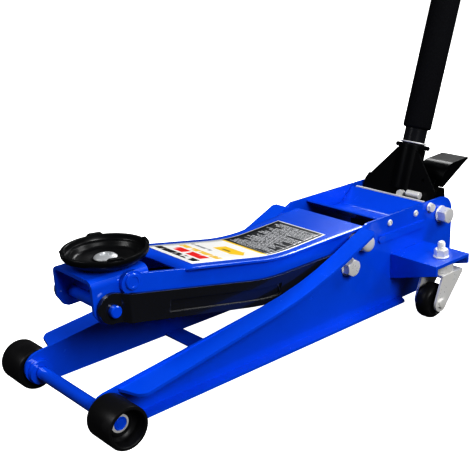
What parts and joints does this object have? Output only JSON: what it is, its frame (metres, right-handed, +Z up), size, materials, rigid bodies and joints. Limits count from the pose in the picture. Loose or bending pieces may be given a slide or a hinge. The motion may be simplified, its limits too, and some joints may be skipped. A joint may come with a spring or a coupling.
{
  "type": "car jack",
  "caption": "Low-profile hydraulic trolley jack with a turning saddle, parallel lift arm, swivel casters, quick-lift pedal and padded pump handle.",
  "frame": {"origin": "centre of the bounding box in plan, on the floor", "axes": "+Z up, -Y towards the saddle end, +Y towards the handle, +X to the side with the pedal"},
  "size_m": [0.3446, 1.0126, 1.0925],
  "materials": {
    "blue_paint": "gloss blue enamel",
    "black_paint": "gloss black enamel",
    "zinc_plate": "bright zinc plate",
    "bright_steel": "machined and oiled",
    "cast_iron": "as cast, dark",
    "roller_nylon": "black moulded nylon",
    "foam": "closed-cell foam, matt",
    "grip_rubber": "moulded rubber, matt"
  },
  "bodies": {
    "chassis": {"side_plate_right": "blue_paint", "side_plate_left": "blue_paint", "front_cross_plate": "blue_paint", "rear_cross_plate": "blue_paint", "rear_tray": "blue_paint", "rear_tray_strip": "zinc_plate", "tie_bolt_right": "zinc_plate", "tie_bolt_left": "zinc_plate", "front_axle": "blue_paint", "axle_ring_right": "zinc_plate", "axle_ring_left": "zinc_plate", "lift_shaft": "zinc_plate", "link_bolt_right": "zinc_plate", "link_bolt_left": "zinc_plate", "yoke_bolt_right": "zinc_plate", "yoke_bolt_left": "zinc_plate", "tank_tube": "black_paint", "tank_cap": "cast_iron", "ram_cylinder": "bright_steel", "pump_block": "cast_iron", "caster_bracket_right": "blue_paint", "caster_bracket_left": "blue_paint", "caster_stem_right": "zinc_plate", "caster_stem_left": "zinc_plate"},
    "lift_arm": {"arm_plate_right": "blue_paint", "arm_plate_left": "blue_paint", "arm_cover": "blue_paint", "arm_rocker": "cast_iron", "head_pivot_pin": "blue_paint"},
    "links": {"level_link_right": "black_paint", "level_link_left": "black_paint", "link_pin": "blue_paint"},
    "head": {"head_bracket": "blue_paint"},
    "saddle": {"saddle_cup": "black_paint", "saddle_screw": "zinc_plate"},
    "roller_right": {"front_roller_right": "roller_nylon"},
    "roller_left": {"front_roller_left": "roller_nylon"},
    "ram": {"ram": "bright_steel", "ram_pin": "bright_steel"},
    "plunger": {"pump_plunger": "bright_steel"},
    "valve": {"release_valve": "zinc_plate"},
    "yoke": {"handle_yoke": "black_paint", "yoke_collar": "black_paint", "pump_roller": "bright_steel", "release_pin": "zinc_plate", "yoke_screw": "zinc_plate", "pedal_pin": "bright_steel"},
    "handle": {"handle_lower_tube": "black_paint", "handle_upper_tube": "black_paint", "handle_button": "zinc_plate", "foam_sleeve": "foam", "handle_grip": "grip_rubber"},
    "pedal": {"foot_pedal": "black_paint"},
    "caster_right": {"caster_fork_right": "zinc_plate", "caster_axle_right": "zinc_plate"},
    "caster_left": {"caster_fork_left": "zinc_plate", "caster_axle_left": "zinc_plate"},
    "caster_wheel_right": {"caster_wheel_right": "roller_nylon"},
    "caster_wheel_left": {"caster_wheel_left": "roller_nylon"}
  },
  "joints": [
    {"name": "arm_lift", "type": "hinge", "parent": "chassis", "child": "lift_arm", "pos_m": [0, -0.01381, 0.1275], "axis": [-1, 0, 0], "range_deg": [-17, 54]},
    {"name": "link_swing", "type": "hinge", "parent": "chassis", "child": "links", "pos_m": [0, -0.04581, 0.0985], "axis": [-1, 0, 0], "range_deg": [-17, 54]},
    {"name": "head_level", "type": "hinge", "parent": "lift_arm", "child": "head", "pos_m": [0, -0.40131, 0.1715], "axis": [-1, 0, 0], "range_deg": [-54, 17]},
    {"name": "saddle_spin", "type": "hinge", "parent": "head", "child": "saddle", "pos_m": [0, -0.40411, 0.184], "axis": [0, 0, 1], "continuous": true},
    {"name": "roller_spin_right", "type": "hinge", "parent": "chassis", "child": "roller_right", "pos_m": [0.1087, -0.47781, 0.0285], "axis": [1, 0, 0], "continuous": true},
    {"name": "roller_spin_left", "type": "hinge", "parent": "chassis", "child": "roller_left", "pos_m": [-0.1087, -0.47781, 0.0285], "axis": [1, 0, 0], "continuous": true},
    {"name": "ram_slide", "type": "slide", "parent": "chassis", "child": "ram", "axis": [0, -1, 0], "range_m": [-0.017, 0.053]},
    {"name": "plunger_slide", "type": "slide", "parent": "chassis", "child": "plunger", "axis": [0, -1, 0], "range_m": [-0.0098, 0.0252]},
    {"name": "release_turn", "type": "hinge", "parent": "chassis", "child": "valve", "pos_m": [-0.02, 0.12219, 0.108], "axis": [0, 0, 1], "range_deg": [0, 180]},
    {"name": "handle_tilt", "type": "hinge", "parent": "chassis", "child": "yoke", "pos_m": [0, 0.17419, 0.1265], "axis": [-1, 0, 0], "range_deg": [-18, 47]},
    {"name": "handle_turn", "type": "hinge", "parent": "yoke", "child": "handle", "pos_m": [0, 0.17419, 0.1265], "axis": [0, 0.3107, 0.9505], "range_deg": [0, 180]},
    {"name": "pedal_press", "type": "hinge", "parent": "yoke", "child": "pedal", "pos_m": [0, 0.17419, 0.1265], "axis": [-1, 0, 0], "range_deg": [0, 32], "stiffness_Nm_per_rad": 4, "springref_deg": -11.46},
    {"name": "swivel_right", "type": "hinge", "parent": "chassis", "child": "caster_right", "pos_m": [0.149, 0.09219, 0.07], "axis": [0, 0, 1], "continuous": true},
    {"name": "swivel_left", "type": "hinge", "parent": "chassis", "child": "caster_left", "pos_m": [-0.149, 0.09219, 0.07], "axis": [0, 0, 1], "continuous": true},
    {"name": "caster_roll_right", "type": "hinge", "parent": "caster_right", "child": "caster_wheel_right", "pos_m": [0.149, 0.07069, 0.027], "axis": [1, 0, 0], "continuous": true},
    {"name": "caster_roll_left", "type": "hinge", "parent": "caster_left", "child": "caster_wheel_left", "pos_m": [-0.149, 0.07069, 0.027], "axis": [1, 0, 0], "continuous": true}
  ],
  "couplings": [
    {"joint": "link_swing", "follows": "arm_lift", "ratio": 1},
    {"joint": "head_level", "follows": "arm_lift", "ratio": -1},
    {"joint": "ram_slide", "follows": "arm_lift", "m_per_rad": 0.0553},
    {"joint": "plunger_slide", "follows": "handle_tilt", "m_per_rad": 0.0305},
    {"joint": "release_turn", "follows": "handle_turn", "ratio": 1}
  ]
}
